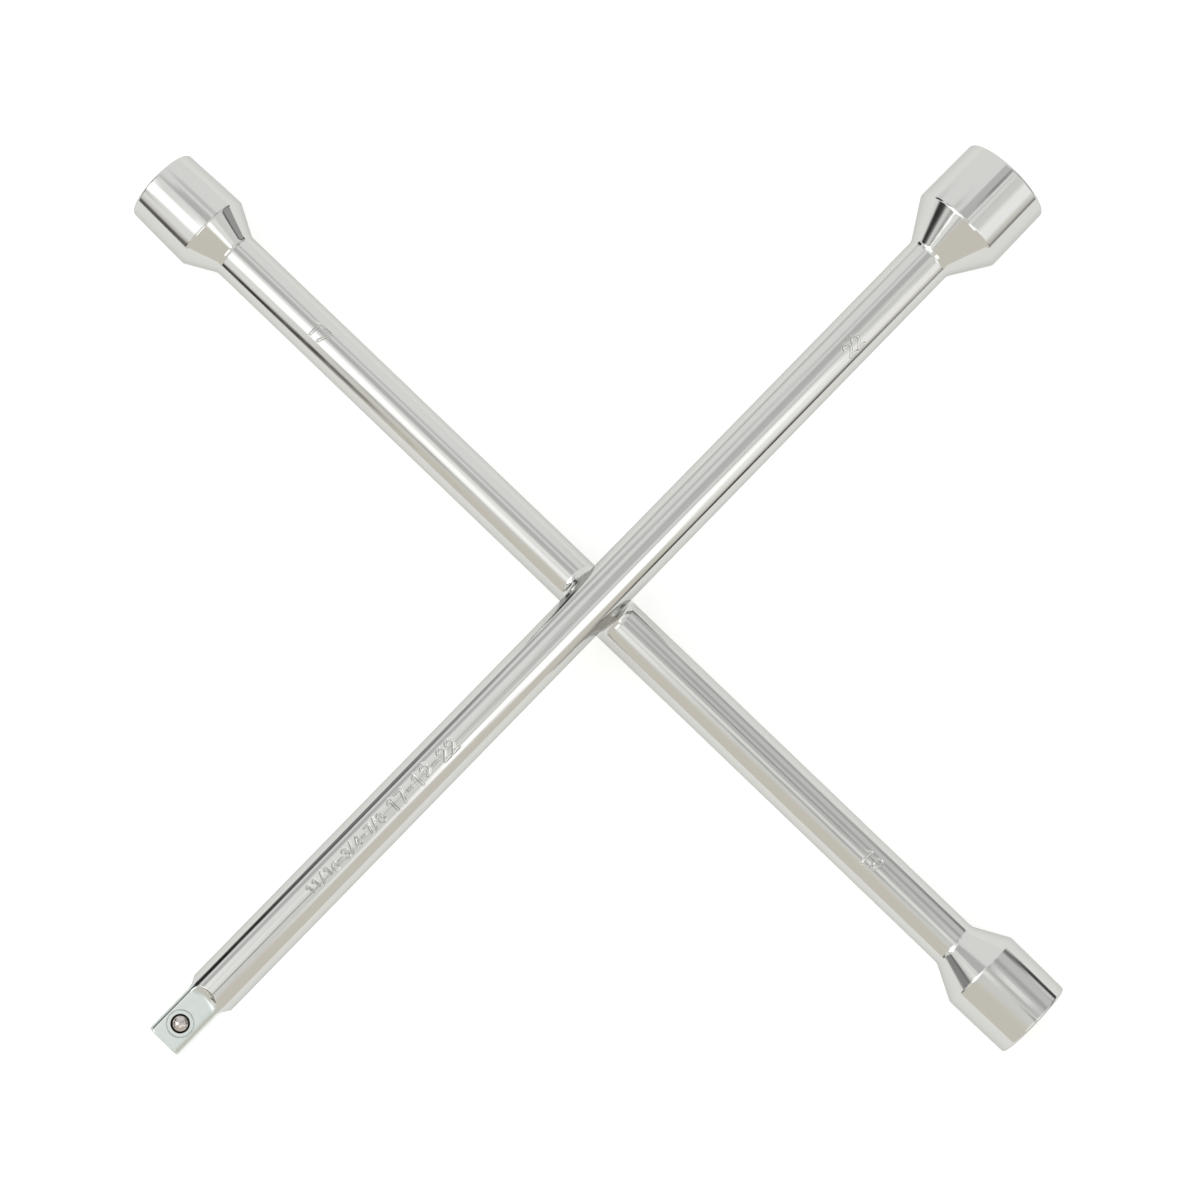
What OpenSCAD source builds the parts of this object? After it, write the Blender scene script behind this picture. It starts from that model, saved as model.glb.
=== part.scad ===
// Four-way lug wrench: two crossed round bars with three hexagon sockets and a square drive.
// The origin is the centre of the crossing, half-way between the two bar axes.
// The drive bar lies along X above that plane, the socket bar along Y below it.

/* [Bars] */
// Diameter of both round bars
bar_d = 17; // [16:0.5:18]
// How deep the two bars are pressed into each other where they cross
bar_sink = 4.8; // [3.6:0.1:6]

/* [Arm reach from the crossing] */
// Drive arm, to the tip of the square
reach_drive = 205.8; // [180:0.1:260]
// Largest socket's arm, to the mouth
reach_22 = 201.3; // [180:0.1:260]
// Smallest socket's arm, to the mouth
reach_17 = 209.4; // [180:0.1:260]
// Middle socket's arm, to the mouth
reach_19 = 203; // [180:0.1:260]

/* [Sockets] */
// Length of each socket's nearly straight body
socket_body = 24.5; // [22:0.5:30]
// Depth of the hexagon from the mouth
hex_depth = 16; // [12:0.5:18]
// Depth of the round stud relief from the mouth
relief_depth = 24; // [20:0.5:26]
// Radius on the outer edge of each mouth
mouth_round = 1; // [0.4:0.1:1.4]
// Radius where the body turns into the cone
shoulder_round = 2.2; // [0.5:0.1:2.5]
// Radius where the cone runs out on the bar
neck_round = 4; // [1:0.5:5]

/* [Square drive] */
// Across the flats of the square
square_af = 12.7; // [12.5:0.1:12.8]
// Length of the flats
square_length = 18; // [15:0.5:20]
// Radius where the flats run out on the bar
square_runout = 3; // [2:0.5:4]
// Radius along the square's corners
square_corner = 1.2; // [1.1:0.1:1.4]
// How much the corners are cut back at the tip
tip_chamfer = 0.8; // [0.4:0.1:1.2]
// How far that cut runs along the corners
tip_chamfer_length = 1.6; // [0.8:0.1:2.4]

/* [Ball detent] */
// Diameter of the steel ball
ball_d = 6.35; // [6:0.05:6.4]
// Ball centre from the tip of the square
ball_from_tip = 8.2; // [7:0.1:9]
// How far the ball stands out of the face at rest
ball_proud = 1.5; // [1.2:0.1:1.5]
// Diameter of the staked lip that keeps the ball in
lip_d = 6; // [5.95:0.05:6]
// Outer diameter of the staking groove round the ball
groove_d = 9.3; // [9:0.1:10]
// Depth of the ball's hole from the face
ball_hole_depth = 10; // [9.5:0.1:10.5]

/* [Detent spring] */
// Thickness of the spring wire
wire_d = 0.6; // [0.5:0.05:0.65]
// Diameter of the coil between wire centres
coil_d = 4.8; // [4.4:0.1:4.9]
// Turns that can close up, between the two closed end turns
open_turns = 3; // [2:1:3]

/* [Weld] */
// Outer radius of the flash ring at the crossing
flash_r = 12.1; // [11:0.1:12.4]
// Half the thickness of the flash ring at its edge
flash_edge = 3; // [2.8:0.1:3.4]

/* [Size marks] */
// Depth of the stamped numbers
mark_depth = 0.3; // [0.1:0.05:0.4]
// Height of the socket numbers
mark_height = 5; // [4:0.5:6]

/* [Hidden] */

$fn = 96;
past = 1;                          // how far a cutting shape runs past the surface it cuts
bar_r = bar_d / 2;
bar_spacing = bar_d - bar_sink;
drive_z = bar_spacing / 2;
socket_z = -bar_spacing / 2;

// Each socket: across flats, outer radius at the shoulder, outer radius at the mouth, cone length, reach
size_17 = [17, 14.5, 13.95, 11, reach_17];
size_19 = [19, 14.95, 14.7, 12, reach_19];
size_22 = [22, 17.15, 16.95, 14, reach_22];
function flats(size) = size[0];
function shoulder_r(size) = size[1];
function mouth_r(size) = size[2];
function cone_length(size) = size[3];
function reach(size) = size[4];

relief_share = 0.44;               // stud relief radius as a share of the across-flats size
drill_slope = 0.6;                 // height of a drilled hole's pointed end over its radius
lead_in = 0.5;                     // how far the mouth's bevel reaches past the hexagon's corners

square_half = square_af / 2;
square_end = -reach_drive + square_length;
ball_x = -reach_drive + ball_from_tip;
face_z = drive_z + square_half;
hole_clearance = 0.05;
hole_r = ball_d / 2 + hole_clearance;
hole_floor_z = face_z - ball_hole_depth;
ball_z = face_z + ball_proud - ball_d / 2;
lip_root = 1;                      // the lip leans in over the ball from this far below the face
lip_edge = 0.5;                    // depth at which it is narrowest
lip_flare = 0.2;                   // how much wider it opens from there to the face
groove_w = 0.35;
groove_depth = 0.3;

// The top coil touches the ball from below; the gap keeps the two solids apart.
spring_gap = 0.03;
touch_r = ball_d / 2 + wire_d / 2 + spring_gap;
coil_top = ball_z - sqrt(touch_r * touch_r - coil_d * coil_d / 4);
coil_bottom = hole_floor_z + wire_d / 2;
closed_pitch = wire_d * 1.04;
open_pitch = (coil_top - coil_bottom - 2 * closed_pitch) / open_turns;
rings_per_turn = 20;
wire_sides = 8;

// An outline's corners are [x, y, radius]; each becomes a tangent arc of its radius.
function towards(a, b) = let (d = [b[0] - a[0], b[1] - a[1]]) d / norm(d);
function corner_arc(before, here, after, steps = 6) =
    let (point = [here[0], here[1]], radius = here[2])
    radius == 0 ? [point] :
    let (
        back = towards(here, before),
        ahead = towards(here, after),
        half = acos(back * ahead) / 2,
        sweep = 180 - 2 * half,
        centre = point + (back + ahead) / norm(back + ahead) * radius / sin(half),
        first = point + back * radius / tan(half) - centre,
        last = point + ahead * radius / tan(half) - centre
    )
    [for (i = [0 : steps]) let (t = i / steps)
        centre + (first * sin((1 - t) * sweep) + last * sin(t * sweep)) / sin(sweep)];
function rounded(corners) =
    let (n = len(corners))
    [for (i = [0 : n - 1])
        each corner_arc(corners[(i + n - 1) % n], corners[i], corners[(i + 1) % n])];

// Half outline of a socket and its cone, from the bar to the centre of the mouth.
function socket_corners(size) =
    let (mouth = reach(size), shoulder = mouth - socket_body)
    [
        [bar_r, shoulder - cone_length(size), neck_round],
        [shoulder_r(size), shoulder, shoulder_round],
        [mouth_r(size), mouth, mouth_round],
        [0, mouth, 0]
    ];
// The same on the far side of the crossing, from the centre of the mouth to the bar.
function far_side(corners) =
    [for (i = [len(corners) - 1 : -1 : 0]) [corners[i][0], -corners[i][1], corners[i][2]]];

// Places a shape whose own Z runs out along an arm.
module along_x(z) { translate([0, 0, z]) rotate([0, 90, 0]) children(); }
module along_y(z) { translate([0, 0, z]) rotate([-90, 0, 0]) children(); }
module along_minus_y(z) { translate([0, 0, z]) rotate([90, 0, 0]) children(); }

// The hollow of a socket, with the mouth at Z = mouth and the socket below it.
module socket_hollow(size) {
    mouth = reach(size);
    corner_r = flats(size) / 2 / cos(30);
    relief_r = flats(size) * relief_share;
    bevel = corner_r + lead_in - flats(size) / 2;
    translate([0, 0, mouth - hex_depth])
        cylinder(r = corner_r, h = hex_depth + past, $fn = 6);
    translate([0, 0, mouth - bevel])
        cylinder(r1 = flats(size) / 2, r2 = corner_r + lead_in + past, h = bevel + past);
    translate([0, 0, mouth - relief_depth])
        cylinder(r = relief_r, h = relief_depth - hex_depth + past);
    translate([0, 0, mouth - relief_depth - relief_r * drill_slope])
        cylinder(r1 = 0, r2 = relief_r, h = relief_r * drill_slope);
}

// What the other bar takes up on its own side of the mid-plane, where the bars are pressed together.
module seat_below() {
    seat = 2 * bar_d;
    intersection() {
        along_y(socket_z) cylinder(r = bar_r, h = seat, center = true);
        translate([-seat / 2, -seat / 2, -seat]) cube(seat);
    }
}
module seat_above() {
    seat = 2 * bar_d;
    intersection() {
        along_x(drive_z) cylinder(r = bar_r, h = seat, center = true);
        translate([-seat / 2, -seat / 2, 0]) cube(seat);
    }
}

// Stroke of constant width along a path, as one outline.
function side_of(path, i, w) =
    let (
        a = path[max(i - 1, 0)],
        b = path[i],
        c = path[min(i + 1, len(path) - 1)],
        into = i == 0 ? towards(b, c) : towards(a, b),
        out = i == len(path) - 1 ? into : towards(b, c),
        normal = [-(into + out)[1], (into + out)[0]] / norm(into + out)
    )
    b + normal * w / 2 / (normal * [-into[1], into[0]]);
function stroke(path, w) = concat(
    [for (i = [0 : len(path) - 1]) side_of(path, i, w)],
    [for (i = [len(path) - 1 : -1 : 0]) side_of(path, i, -w)]
);
function arc(centre, r, from, to, steps = 10) =
    [for (i = [0 : steps]) let (a = from + (to - from) * i / steps) centre + r * [cos(a), sin(a)]];

// Number shapes one unit high, as the paths of their strokes.
bowl = 0.27;
glyph_step = 0.78;
stroke_width = 0.14;
function glyph(sign) =
    sign == "1" ? [[[0.05, 0.76], [0.3, 0.95], [0.3, 0]]] :
    sign == "2" ? [concat(arc([0.3, 0.68], bowl, 170, -35), [[0.05, 0.04], [0.6, 0.04]])] :
    sign == "3" ? [arc([0.3, 0.71], 0.23, 160, -90), arc([0.3, 0.27], bowl, 90, -155)] :
    sign == "4" ? [[[0.44, 0], [0.44, 0.95]], [[0.44, 0.93], [0.04, 0.3], [0.62, 0.3]]] :
    sign == "6" ? [for (path = glyph("9")) [for (point = path) [0.6, 0.95] - point]] :
    sign == "7" ? [[[0, 0.94], [0.56, 0.94], [0.22, 0]]] :
    sign == "8" ? [arc([0.3, 0.71], 0.22, -105, 245, 16), arc([0.3, 0.26], bowl, 85, 435, 16)] :
    sign == "9" ? [
        arc([0.3, 0.68], bowl, 0, 300, 14),
        concat(arc([0.12, 0.68], 0.45, 48, -78), [[0.1, 0.2]])
    ] :
    sign == "/" ? [[[0, -0.08], [0.46, 1.04]]] :
    [[[0.08, 0.46], [0.52, 0.46]]];

// Cuts a row of numbers into a bar along X with its axis at Z = 0; x is the row's middle.
module numbers(signs, height, x, roll = 0) {
    width = glyph_step * height * (len(signs) - 1) + 0.6 * height;
    rotate([roll, 0, 0]) difference() {
        translate([x - width / 2, -height / 2, 0])
            for (i = [0 : len(signs) - 1]) translate([i * glyph_step * height, 0, 0])
                for (path = glyph(signs[i]))
                    linear_extrude(bar_r + past) scale(height) polygon(stroke(path, stroke_width));
        translate([x, 0, 0]) rotate([0, 90, 0])
            cylinder(r = bar_r - mark_depth, h = width + bar_d, center = true);
    }
}

// Half of what a cutter takes off to leave one flat that runs out on the bar in an arc.
module flat_cut() {
    rotate([90, 0, 0]) linear_extrude(2 * bar_d, center = true) {
        translate([-reach_drive - past, square_half])
            square([square_length + past, 2 * square_runout]);
        translate([square_end, square_half + square_runout]) circle(r = square_runout);
    }
}
module corner_cut() {
    inner = square_half - square_corner;
    difference() {
        translate([-reach_drive - past, inner, inner])
            cube([square_length + past, square_corner + past, square_corner + past]);
        translate([-reach_drive - 2 * past, inner, inner])
            rotate([0, 90, 0]) cylinder(r = square_corner, h = square_length + 4 * past);
    }
}

module ball_hole() {
    translate([0, 0, hole_floor_z])
        cylinder(r = hole_r, h = ball_hole_depth - lip_root);
    translate([0, 0, face_z - lip_root])
        cylinder(r1 = hole_r, r2 = lip_d / 2, h = lip_root - lip_edge);
    translate([0, 0, face_z - lip_edge])
        cylinder(r1 = lip_d / 2, r2 = lip_d / 2 + 2 * lip_flare, h = 2 * lip_edge);
    translate([0, 0, face_z - groove_depth]) difference() {
        cylinder(d = groove_d, h = groove_depth + past);
        translate([0, 0, -past]) cylinder(d = groove_d - 2 * groove_w, h = groove_depth + 3 * past);
    }
}

module drive_bar() {
    color("gainsboro") difference() {
        along_x(drive_z) rotate_extrude() polygon(rounded(concat(
            [
                [0, -reach_drive, 0],
                [bar_r - tip_chamfer, -reach_drive, 0],
                [bar_r, -reach_drive + tip_chamfer_length, 0]
            ],
            socket_corners(size_22)
        )));
        along_x(drive_z) socket_hollow(size_22);
        translate([0, 0, drive_z]) for (turn = [0 : 90 : 270]) rotate([turn, 0, 0]) {
            flat_cut();
            corner_cut();
        }
        translate([ball_x, 0, 0]) ball_hole();
        seat_below();
        translate([0, 0, drive_z]) {
            numbers("11/16-3/4-7/8", 0.7 * mark_height, -120);
            numbers("17-19-22", mark_height, -84);
            numbers("22", mark_height, 121, 20);
        }
    }
}

module socket_bar() {
    color("gainsboro") difference() {
        along_y(socket_z) rotate_extrude() polygon(rounded(concat(
            far_side(socket_corners(size_19)), socket_corners(size_17)
        )));
        along_y(socket_z) socket_hollow(size_17);
        along_minus_y(socket_z) socket_hollow(size_19);
        seat_above();
        translate([0, 0, socket_z]) rotate([0, 0, -90]) {
            numbers("17", mark_height, -132);
            numbers("19", mark_height, 127);
        }
    }
}

// Flash squeezed out where the bars are joined: a ring that fills the corner between them.
module weld_collar() {
    edge_round = 1.4;
    color("silver") difference() {
        rotate_extrude() polygon(rounded([
            [0, -drive_z, 0],
            [bar_r, -drive_z + 0.4, 0],
            [bar_r + 1.2, -flash_edge - 0.9, 1.6],
            [flash_r, -flash_edge, edge_round],
            [flash_r, flash_edge, edge_round],
            [bar_r + 1.2, flash_edge + 0.9, 1.6],
            [bar_r, drive_z - 0.4, 0],
            [0, drive_z, 0]
        ]));
        along_x(drive_z) cylinder(r = bar_r, h = 3 * flash_r, center = true);
        along_y(socket_z) cylinder(r = bar_r, h = 3 * flash_r, center = true);
    }
}

module detent_ball() {
    color("silver") translate([ball_x, 0, ball_z]) sphere(d = ball_d);
}

// Height of the wire's centre after a number of turns: closed, open, closed.
function coil_height(turns) = coil_bottom
    + closed_pitch * min(turns, 1)
    + open_pitch * min(max(turns - 1, 0), open_turns)
    + closed_pitch * max(turns - 1 - open_turns, 0);

module detent_spring() {
    rings = (open_turns + 2) * rings_per_turn;
    points = [for (i = [0 : rings], k = [0 : wire_sides - 1])
        let (
            turn = 360 * i / rings_per_turn,
            side = 360 * k / wire_sides,
            r = coil_d / 2 + wire_d / 2 * cos(side)
        )
        [r * cos(turn), r * sin(turn), coil_height(i / rings_per_turn) + wire_d / 2 * sin(side)]];
    walls = [for (i = [0 : rings - 1], k = [0 : wire_sides - 1])
        let (a = i * wire_sides + k, b = i * wire_sides + (k + 1) % wire_sides)
        each [[a, b, b + wire_sides], [a, b + wire_sides, a + wire_sides]]];
    ends = [
        [for (k = [wire_sides - 1 : -1 : 0]) k],
        [for (k = [0 : wire_sides - 1]) rings * wire_sides + k]
    ];
    color("dimgray") translate([ball_x, 0, 0]) polyhedron(points, concat(walls, ends));
}

drive_bar();
socket_bar();
weld_collar();
detent_ball();
detent_spring();
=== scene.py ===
import math

import bmesh
import bpy
import numpy as np
from mathutils import Matrix, Vector


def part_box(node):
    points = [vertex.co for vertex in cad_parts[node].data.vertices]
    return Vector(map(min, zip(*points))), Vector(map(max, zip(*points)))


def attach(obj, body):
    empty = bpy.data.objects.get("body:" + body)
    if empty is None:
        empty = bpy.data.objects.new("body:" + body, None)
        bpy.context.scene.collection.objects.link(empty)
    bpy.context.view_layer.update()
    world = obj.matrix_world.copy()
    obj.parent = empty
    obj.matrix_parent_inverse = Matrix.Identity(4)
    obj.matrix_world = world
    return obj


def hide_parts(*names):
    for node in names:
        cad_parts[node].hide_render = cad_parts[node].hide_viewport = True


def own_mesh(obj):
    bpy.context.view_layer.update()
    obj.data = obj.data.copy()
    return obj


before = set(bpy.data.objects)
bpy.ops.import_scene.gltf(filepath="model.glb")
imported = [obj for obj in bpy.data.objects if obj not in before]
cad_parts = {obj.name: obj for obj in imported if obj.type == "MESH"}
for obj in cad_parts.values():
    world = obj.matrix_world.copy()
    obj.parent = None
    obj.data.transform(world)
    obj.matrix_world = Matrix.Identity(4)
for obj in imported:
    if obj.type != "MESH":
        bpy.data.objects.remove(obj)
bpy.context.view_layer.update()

# Lengths are in millimetres until a mesh is made, and angles in degrees.
MM = 0.001


def box_mm(node):
    low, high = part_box(node)
    return np.array(low) / MM, np.array(high) / MM


drive_low, drive_high = box_mm("drive_bar")
socket_low, socket_high = box_mm("socket_bar")
ball_low, ball_high = box_mm("detent_ball")

# The two bars: each lies along its own axis, at its own height.
BAR_R = 8.5
DRIVE_Z = (drive_low[2] + drive_high[2]) / 2
SOCKET_Z = (socket_low[2] + socket_high[2]) / 2
UP = np.array([0.0, 0.0, 1.0])


def axes_along(along, side, up, origin):
    return dict(
        along=np.array(along, float),
        side=np.array(side, float),
        up=np.array(up, float),
        origin=np.array(origin, float),
    )


DRIVE_AXES = axes_along((1, 0, 0), (0, 1, 0), UP, (0, 0, DRIVE_Z))
SOCKET_AXES = axes_along((0, -1, 0), (1, 0, 0), UP, (0, 0, SOCKET_Z))
FLOOR_Z = min(drive_low[2], socket_low[2])

# Sockets, measured from the mouth.
SOCKET_BODY = 24.5
HEX_DEPTH = 16.0
RELIEF_DEPTH = 24.0
RELIEF_SHARE = 0.44
DRILL_SLOPE = 0.6
LEAD_IN = 0.5
MOUTH_ROUND = 1.0
SHOULDER_ROUND = 2.2
NECK_ROUND = 4.0
HEX_CORNER = 0.5
SIZE_17 = dict(flats=17, shoulder_r=14.5, mouth_r=13.95, cone=11, mouth=socket_high[1])
SIZE_19 = dict(flats=19, shoulder_r=14.95, mouth_r=14.7, cone=12, mouth=-socket_low[1])
SIZE_22 = dict(flats=22, shoulder_r=17.15, mouth_r=16.95, cone=14, mouth=drive_high[0])

# Square drive and its ball.
TIP_X = drive_low[0]
SQUARE_HALF = 6.35
SQUARE_LENGTH = 18.0
SQUARE_BLANK_R = 8.1
RUNOUT = 4.0
ARCH = 1.8
TIP_CHAMFER = 0.8
TIP_CHAMFER_LENGTH = 1.6
TIP_EDGE = 0.35
EDGE_BLEND = 0.12
FACE_Z = DRIVE_Z + SQUARE_HALF
BALL_CENTRE = (ball_low + ball_high) / 2
BALL_R = (ball_high[2] - ball_low[2]) / 2
HOLE_AXES = axes_along(UP, (0, 1, 0), (1, 0, 0), (BALL_CENTRE[0], 0, 0))
HOLE_R = 3.225
HOLE_FLOOR_Z = FACE_Z - 10
LIP_R = 3.0
LIP_ROOT = 1.0
LIP_DEPTH = 0.5
LIP_FLARE = 0.2
GROOVE_R = 4.48
GROOVE_HALF_W = 0.2
GROOVE_DEPTH = 0.28

# Detent spring.
WIRE_R = 0.3
COIL_R = 2.4
OPEN_TURNS = 3
CLOSED_PITCH = 0.624

# Flash ring at the crossing.
FLASH_R = 12.1
WELD_SIZE = 5.2
FLASH_INSET = 0.02

# Corners closer together than this after a cut are one corner.
SAME_CORNER = 0.002

# Stamped numbers.
MARK_HEIGHT = 5.0
SMALL_MARK_HEIGHT = 3.5
MARK_DEPTH = 0.4
STROKE = 0.16
GLYPH_STEP = 0.78
MARK_EDGE = 0.15


# ---------------------------------------------------------------- outlines

def corner_arc(before, here, after, step=5.0):
    """Points of the arc that rounds one corner of an outline."""
    point, radius = np.array(here[:2], float), here[2]
    if radius == 0:
        return [tuple(point)]
    back = np.array(before[:2]) - point
    ahead = np.array(after[:2]) - point
    back, ahead = back / np.linalg.norm(back), ahead / np.linalg.norm(ahead)
    half = math.acos(np.clip(back @ ahead, -1, 1)) / 2
    middle = (back + ahead) / np.linalg.norm(back + ahead)
    centre = point + middle * radius / math.sin(half)
    first = point + back * radius / math.tan(half) - centre
    last = point + ahead * radius / math.tan(half) - centre
    sweep = math.pi - 2 * half
    steps = max(3, math.ceil(math.degrees(sweep) / step))
    ts = np.linspace(0, 1, steps + 1)
    return [
        tuple(centre + (first * math.sin((1 - t) * sweep) + last * math.sin(t * sweep)) / math.sin(sweep))
        for t in ts
    ]


def rounded(corners, step=5.0):
    """An open outline with its inner corners rounded; a corner is (place, radius, rounding)."""
    points = [tuple(corners[0][:2])]
    for before, here, after in zip(corners, corners[1:], corners[2:]):
        points += corner_arc(before, here, after, step)
    return points + [tuple(corners[-1][:2])]


def polygon_radius(angles, sides, apothem, corner, first_corner=0.0):
    """How far a rounded polygon's wall is from its centre, at each angle."""
    half = math.pi / sides
    phi = np.abs((np.radians(angles - first_corner) + half) % (2 * half) - half)
    apothem = np.asarray(apothem, float)
    centre = (apothem - corner) / math.cos(half)
    tangent = np.arctan2(corner * math.sin(half), centre + corner * math.cos(half))
    flat = apothem / np.cos(half - phi)
    inside = np.maximum(corner**2 - (centre * np.sin(phi)) ** 2, 0)
    curve = centre * np.cos(phi) + np.sqrt(inside)
    return np.where(phi < tangent, curve, flat)


def soft_least(a, b, blend):
    """The lesser of two lengths, blended where they are nearly equal."""
    gap = (np.asarray(a) - b) / blend
    return b - blend * np.logaddexp(0, -gap)


# ---------------------------------------------------------------- skins

ROUND = np.arange(0, 360, 2.0)
FINE = np.arange(0, 360, 1.0)
QUARTER = np.concatenate([np.arange(0, 36, 2.0), np.arange(36, 54, 0.6), np.arange(54, 90, 2.0)])
SQUARE = np.concatenate([QUARTER + turn for turn in (0, 90, 180, 270)])


def graded_angles(centre, half_span, fine=1.15, coarse=4.5, growth=1.22):
    """Angles round a bar, close together about a mark and wider apart away from it."""
    steps, at, step = [0.0], 0.0, fine
    while at + step < 180:
        at += step
        steps.append(at)
        if at > half_span:
            step = min(step * growth, coarse)
    steps = np.array(steps)
    return np.sort(np.concatenate([centre + steps, centre - steps[1:]]) % 360)


def ring(place, radius, angles=ROUND):
    """One ring of a skin: its angles, and at each how far along the axis and how far from it."""
    angles = np.asarray(angles, float)
    place, radius = (np.broadcast_to(np.asarray(part, float), angles.shape) for part in (place, radius))
    return angles, place, radius


def pole(place):
    return ring(place, 0.0, [0.0])


def strip_faces(a, b, start_a, start_b):
    """Faces between two rings, which may have different angles."""
    na, nb = len(a), len(b)
    if na == nb and np.allclose(a, b):
        i = np.arange(na)
        j = (i + 1) % na
        return np.stack([start_a + i, start_a + j, start_b + j, start_b + i], 1).tolist()
    if na == 1:
        return [[start_a, start_b + (k + 1) % nb, start_b + k] for k in range(nb)]
    if nb == 1:
        return [[start_a + k, start_a + (k + 1) % na, start_b] for k in range(na)]
    faces, i, j = [], 0, 0
    while i < na or j < nb:
        next_a = a[i + 1] if i + 1 < na else 360 + a[0] if i < na else math.inf
        next_b = b[j + 1] if j + 1 < nb else 360 + b[0] if j < nb else math.inf
        if next_a <= next_b:
            faces.append([start_a + i % na, start_a + (i + 1) % na, start_b + j % nb])
            i += 1
        else:
            faces.append([start_a + i % na, start_b + (j + 1) % nb, start_b + j % nb])
            j += 1
    return faces


def skin(name, rings, along, side, up, origin, closed=False):
    """A closed mesh object from rings round an axis, from a pole at one end to a pole at the other."""
    points, faces, starts = [], [], []
    for angles, place, radius in rings:
        starts.append(sum(len(p) for p in points))
        t = np.radians(angles)
        points.append(
            origin
            + place[:, None] * along
            + (radius * np.cos(t))[:, None] * up
            + (radius * np.sin(t))[:, None] * side
        )
    pairs = list(zip(range(len(rings)), range(1, len(rings))))
    if closed:
        pairs.append((len(rings) - 1, 0))
    for i, j in pairs:
        faces += strip_faces(rings[i][0], rings[j][0], starts[i], starts[j])
    return mesh_object(name, np.concatenate(points), faces)


def mesh_object(name, points, faces):
    mesh = bpy.data.meshes.new(name)
    mesh.from_pydata((np.asarray(points) * MM).tolist(), [], faces)
    bm = bmesh.new()
    bm.from_mesh(mesh)
    bmesh.ops.recalc_face_normals(bm, faces=bm.faces)
    bm.to_mesh(mesh)
    bm.free()
    obj = bpy.data.objects.new(name, mesh)
    bpy.context.scene.collection.objects.link(obj)
    return obj


def cut(obj, *cutters):
    """Takes the cutters' shapes out of obj and removes them."""
    for cutter in cutters:
        modifier = obj.modifiers.new("cut", "BOOLEAN")
        modifier.operation = "DIFFERENCE"
        modifier.solver = "EXACT"
        modifier.object = cutter
    bpy.context.view_layer.update()
    evaluated = obj.evaluated_get(bpy.context.evaluated_depsgraph_get())
    made = bpy.data.meshes.new_from_object(evaluated)
    obj.modifiers.clear()
    old, obj.data = obj.data, made
    bpy.data.meshes.remove(old)
    made.name = obj.name
    bm = bmesh.new()
    bm.from_mesh(made)
    bmesh.ops.remove_doubles(bm, verts=bm.verts, dist=SAME_CORNER * MM)
    bmesh.ops.dissolve_degenerate(bm, dist=SAME_CORNER * MM / 10, edges=bm.edges)
    bm.to_mesh(made)
    bm.free()
    for cutter in cutters:
        mesh = cutter.data
        bpy.data.objects.remove(cutter)
        bpy.data.meshes.remove(mesh)
    return obj


def drop_films(obj):
    """Removes pairs of faces that lie back to back on the same corners, with nothing between them."""
    bm = bmesh.new()
    bm.from_mesh(obj.data)
    bmesh.ops.triangulate(bm, faces=bm.faces)
    by_corners = {}
    for face in bm.faces:
        by_corners.setdefault(frozenset(face.verts), []).append(face)
    films = [face for twins in by_corners.values() if len(twins) > 1 for face in twins]
    bmesh.ops.delete(bm, geom=films, context="FACES")
    bm.to_mesh(obj.data)
    bm.free()


def smooth(obj, sharp=38):
    obj.data.shade_smooth()
    obj.data.set_sharp_from_angle(angle=math.radians(sharp))
    return obj


def mesh_places(mesh):
    """Every corner point of a mesh, in millimetres."""
    co = np.zeros(len(mesh.vertices) * 3)
    mesh.vertices.foreach_get("co", co)
    return co.reshape(-1, 3) / MM


def set_normals(mesh, out, least_facing, where=None):
    """Uses the given normals where they nearly face the way the mesh does, and where a test holds."""
    corners = np.zeros(len(mesh.loops), np.int64)
    mesh.loops.foreach_get("vertex_index", corners)
    normals = np.zeros(len(mesh.corner_normals) * 3, np.float32)
    mesh.corner_normals.foreach_get("vector", normals)
    normals = normals.reshape(-1, 3)
    chosen = (normals * out[corners]).sum(1) > least_facing
    if where is not None:
        chosen &= where[corners]
    normals[chosen] = out[corners][chosen]
    mesh.normals_split_custom_set(normals.tolist())


def true_bar_normals(obj, axes):
    """Gives a bar's straight part the exact normals of a cylinder, so that its reflections run straight."""
    co = mesh_places(obj.data) - axes["origin"]
    out = co - np.outer(co @ axes["along"], axes["along"])
    radius = np.linalg.norm(out, axis=1)
    out /= np.maximum(radius, 1e-9)[:, None]
    set_normals(obj.data, out, math.cos(math.radians(9)), np.abs(radius - BAR_R) < 0.002)


# ---------------------------------------------------------------- sockets

def socket_rings(size, sign):
    """Rings of one socket, from the bar out to the mouth and in again to the bottom of its hollow."""
    mouth, shoulder = size["mouth"], size["mouth"] - SOCKET_BODY
    bevel_r = size["flats"] / 2 / math.cos(math.radians(30)) + LEAD_IN
    hex_r = polygon_radius(ROUND, 6, size["flats"] / 2, HEX_CORNER)
    outline = rounded([
        (BAR_R, shoulder - size["cone"] - 8, 0),
        (BAR_R, shoulder - size["cone"], NECK_ROUND),
        (size["shoulder_r"], shoulder, SHOULDER_ROUND),
        (size["mouth_r"], mouth, MOUTH_ROUND),
        (bevel_r, mouth, 0.15),
        (bevel_r - 1, mouth - 1, 0),
    ], step=4.5)[:-1]
    rings = [ring(place, radius) for radius, place in outline]
    edge = mouth - (bevel_r - hex_r)
    floor = mouth - HEX_DEPTH
    rings += [ring(edge + (floor - edge) * t, hex_r) for t in (0, 0.02, 0.25, 0.5, 0.75, 1)]
    relief_r = size["flats"] * RELIEF_SHARE
    rings += [ring(floor, hex_r + (relief_r - hex_r) * t) for t in (0.35, 0.7, 1)]
    bottom = mouth - RELIEF_DEPTH
    rings += [ring(floor + (bottom - floor) * t, relief_r) for t in (0.05, 0.5, 1)]
    rings += [ring(bottom - relief_r * DRILL_SLOPE * t, relief_r * (1 - t)) for t in (0.05, 0.5, 0.9)]
    rings += [pole(bottom - relief_r * DRILL_SLOPE)]
    return [(angles, sign * place, radius) for angles, place, radius in rings]


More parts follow.
